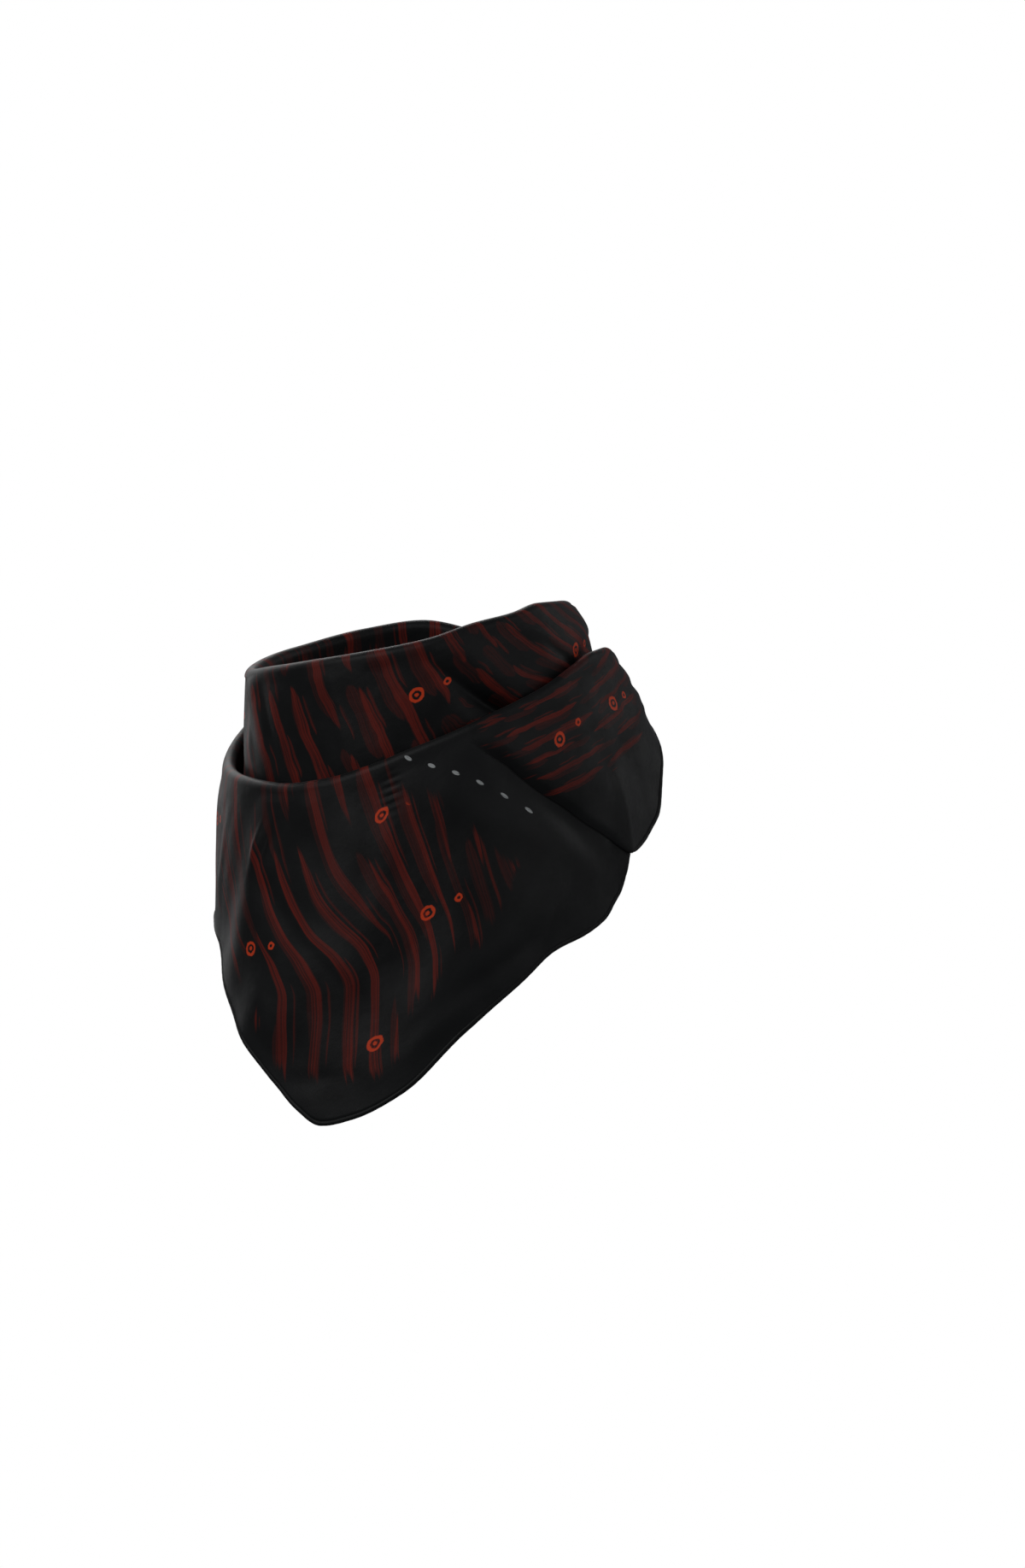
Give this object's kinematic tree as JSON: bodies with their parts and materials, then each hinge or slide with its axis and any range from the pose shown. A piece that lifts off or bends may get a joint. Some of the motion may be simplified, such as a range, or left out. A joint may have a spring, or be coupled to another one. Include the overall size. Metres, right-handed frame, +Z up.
{
  "type": "silk neck scarf, worn point to the front and knotted at the nape",
  "caption": "Silk square folded on the diagonal and worn round the neck: a standing band, a lip, a pointed fall over the chest, pleated wings and a small knot at the nape.",
  "frame": {"origin": "on the axis of the wearer's neck, at half the height of the front of the standing band, where the neck holds the scarf up", "axes": "+Z up along the neck's axis, -Y the wearer's front, +X the wearer's left"},
  "size_m": [0.1696, 0.1736, 0.1798],
  "materials": {
    "silk_plain": "satin",
    "silk_striped": "satin",
    "silk_hem": "satin"
  },
  "bodies": {
    "root": {"neck_band": "silk_striped", "front_fall": "silk_plain", "left_wing": "silk_striped", "right_wing": "silk_striped", "fall_hem": "silk_hem", "left_wing_hem": "silk_hem", "right_wing_hem": "silk_hem", "nape_knot": "silk_striped", "knot_wrap": "silk_plain", "left_tail": "silk_striped", "right_tail": "silk_striped"}
  },
  "joints": []
}
